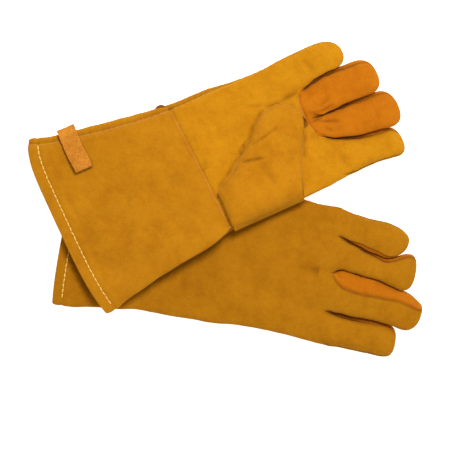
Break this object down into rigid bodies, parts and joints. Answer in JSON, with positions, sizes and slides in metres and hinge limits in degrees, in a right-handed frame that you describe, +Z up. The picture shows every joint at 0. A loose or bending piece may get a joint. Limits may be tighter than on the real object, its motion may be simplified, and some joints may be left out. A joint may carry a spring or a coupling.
{
  "type": "pair of welding gloves",
  "caption": "Long-cuff split-leather welding gloves, one lying palm up across the other, with hinged fingers and thumbs and a hanging loop on each cuff.",
  "frame": {"origin": "centre of the pair's bounding box, on the surface that the lower glove lies on", "axes": "+X along the gloves towards the fingertips, midway between their directions; +Y towards the upper glove's little finger; +Z up, away from the surface"},
  "size_m": [0.4021, 0.318, 0.0743],
  "materials": {
    "golden_split_leather": "matt suede nap, dyed golden yellow, with darker mottling",
    "orange_split_leather": "matt suede nap, a more orange hide",
    "rough_split_leather": "coarse, hairy cut side of the hide",
    "welt_leather": "cut edge of thin leather",
    "seam_thread": "spun heat-resistant thread",
    "cotton_lining": "brushed cotton",
    "canvas_lining": "plain-weave canvas"
  },
  "bodies": {
    "left_hand": {"left_cuff_hem": "golden_split_leather", "left_hem_stitching": "seam_thread", "left_cuff_palm_panel": "golden_split_leather", "left_back_panel": "golden_split_leather", "left_palm_panel": "golden_split_leather", "left_wrist_welt": "welt_leather", "left_finger_base_welt": "welt_leather", "left_cuff_lining": "canvas_lining", "left_hand_lining": "cotton_lining", "left_hanging_loop": "rough_split_leather"},
    "left_pinky": {"left_pinky_front": "golden_split_leather", "left_pinky_back": "golden_split_leather", "left_pinky_fourchettes": "orange_split_leather", "left_pinky_lining": "cotton_lining"},
    "left_ring": {"left_ring_front": "orange_split_leather", "left_ring_back": "golden_split_leather", "left_ring_fourchettes": "orange_split_leather", "left_ring_lining": "cotton_lining"},
    "left_middle": {"left_middle_front": "orange_split_leather", "left_middle_back": "golden_split_leather", "left_middle_fourchettes": "orange_split_leather", "left_middle_lining": "cotton_lining"},
    "left_index": {"left_index_front": "golden_split_leather", "left_index_back": "golden_split_leather", "left_index_fourchettes": "orange_split_leather", "left_index_lining": "cotton_lining"},
    "left_thumb": {"left_thumb_front": "golden_split_leather", "left_thumb_back": "golden_split_leather", "left_thumb_welt": "welt_leather", "left_thumb_lining": "cotton_lining"},
    "right_hand": {"right_cuff_hem": "golden_split_leather", "right_hem_stitching": "seam_thread", "right_cuff_palm_panel": "golden_split_leather", "right_back_panel": "golden_split_leather", "right_palm_panel": "golden_split_leather", "right_wrist_welt": "welt_leather", "right_finger_base_welt": "welt_leather", "right_cuff_lining": "canvas_lining", "right_hand_lining": "cotton_lining"},
    "right_pinky": {"right_pinky_front": "golden_split_leather", "right_pinky_back": "golden_split_leather", "right_pinky_fourchettes": "orange_split_leather", "right_pinky_lining": "cotton_lining"},
    "right_ring": {"right_ring_front": "orange_split_leather", "right_ring_back": "golden_split_leather", "right_ring_fourchettes": "orange_split_leather", "right_ring_lining": "cotton_lining"},
    "right_middle": {"right_middle_front": "orange_split_leather", "right_middle_back": "golden_split_leather", "right_middle_fourchettes": "orange_split_leather", "right_middle_lining": "cotton_lining"},
    "right_index": {"right_index_front": "golden_split_leather", "right_index_back": "golden_split_leather", "right_index_fourchettes": "orange_split_leather", "right_index_lining": "cotton_lining"},
    "right_thumb": {"right_thumb_front": "golden_split_leather", "right_thumb_back": "golden_split_leather", "right_thumb_welt": "welt_leather", "right_thumb_lining": "cotton_lining"},
    "right_loop": {"right_hanging_loop": "rough_split_leather"}
  },
  "joints": [
    {"name": "right_hand_lift", "type": "slide", "parent": "left_hand", "child": "right_hand", "axis": [0, 0, 1], "range_m": [0, 0.15]},
    {"name": "left_pinky_lift", "type": "hinge", "parent": "left_hand", "child": "left_pinky", "pos_m": [0.10511, -0.0243, 0.03032], "axis": [-0.1906, -0.9803, 0.0523], "range_deg": [0, 30]},
    {"name": "left_ring_lift", "type": "hinge", "parent": "left_hand", "child": "left_ring", "pos_m": [0.09911, -0.05518, 0.03196], "axis": [-0.1906, -0.9803, 0.0523], "range_deg": [0, 30]},
    {"name": "left_middle_lift", "type": "hinge", "parent": "left_hand", "child": "left_middle", "pos_m": [0.09206, -0.09145, 0.0339], "axis": [-0.1906, -0.9803, 0.0523], "range_deg": [0, 30]},
    {"name": "left_index_lift", "type": "hinge", "parent": "left_hand", "child": "left_index", "pos_m": [0.0851, -0.12723, 0.03581], "axis": [-0.1906, -0.9803, 0.0523], "range_deg": [0, 30]},
    {"name": "right_pinky_curl", "type": "hinge", "parent": "right_hand", "child": "right_pinky", "pos_m": [0.06183, 0.12669, 0.02693], "axis": [0.4017, -0.9023, 0.1564], "range_deg": [0, 75]},
    {"name": "right_ring_curl", "type": "hinge", "parent": "right_hand", "child": "right_ring", "pos_m": [0.07543, 0.09615, 0.03223], "axis": [0.4017, -0.9023, 0.1564], "range_deg": [0, 75]},
    {"name": "right_middle_curl", "type": "hinge", "parent": "right_hand", "child": "right_middle", "pos_m": [0.08959, 0.06434, 0.03774], "axis": [0.4017, -0.9023, 0.1564], "range_deg": [0, 75]},
    {"name": "right_index_curl", "type": "hinge", "parent": "right_hand", "child": "right_index", "pos_m": [0.10361, 0.03285, 0.0432], "axis": [0.4017, -0.9023, 0.1564], "range_deg": [0, 75]},
    {"name": "right_thumb_open", "type": "hinge", "parent": "right_hand", "child": "right_thumb", "pos_m": [0.04439, -0.00856, 0.05713], "axis": [0.9128, 0.4036, -0.0622], "range_deg": [0, 85]},
    {"name": "left_thumb_swing", "type": "hinge", "parent": "left_hand", "child": "left_thumb", "pos_m": [0.0155, -0.11844, 0], "axis": [0, 0, -1], "range_deg": [0, 40]},
    {"name": "right_loop_flip", "type": "hinge", "parent": "right_hand", "child": "right_loop", "pos_m": [-0.15645, 0.06379, 0.04019], "axis": [-0.9135, -0.4067, 0], "range_deg": [0, 150]}
  ]
}
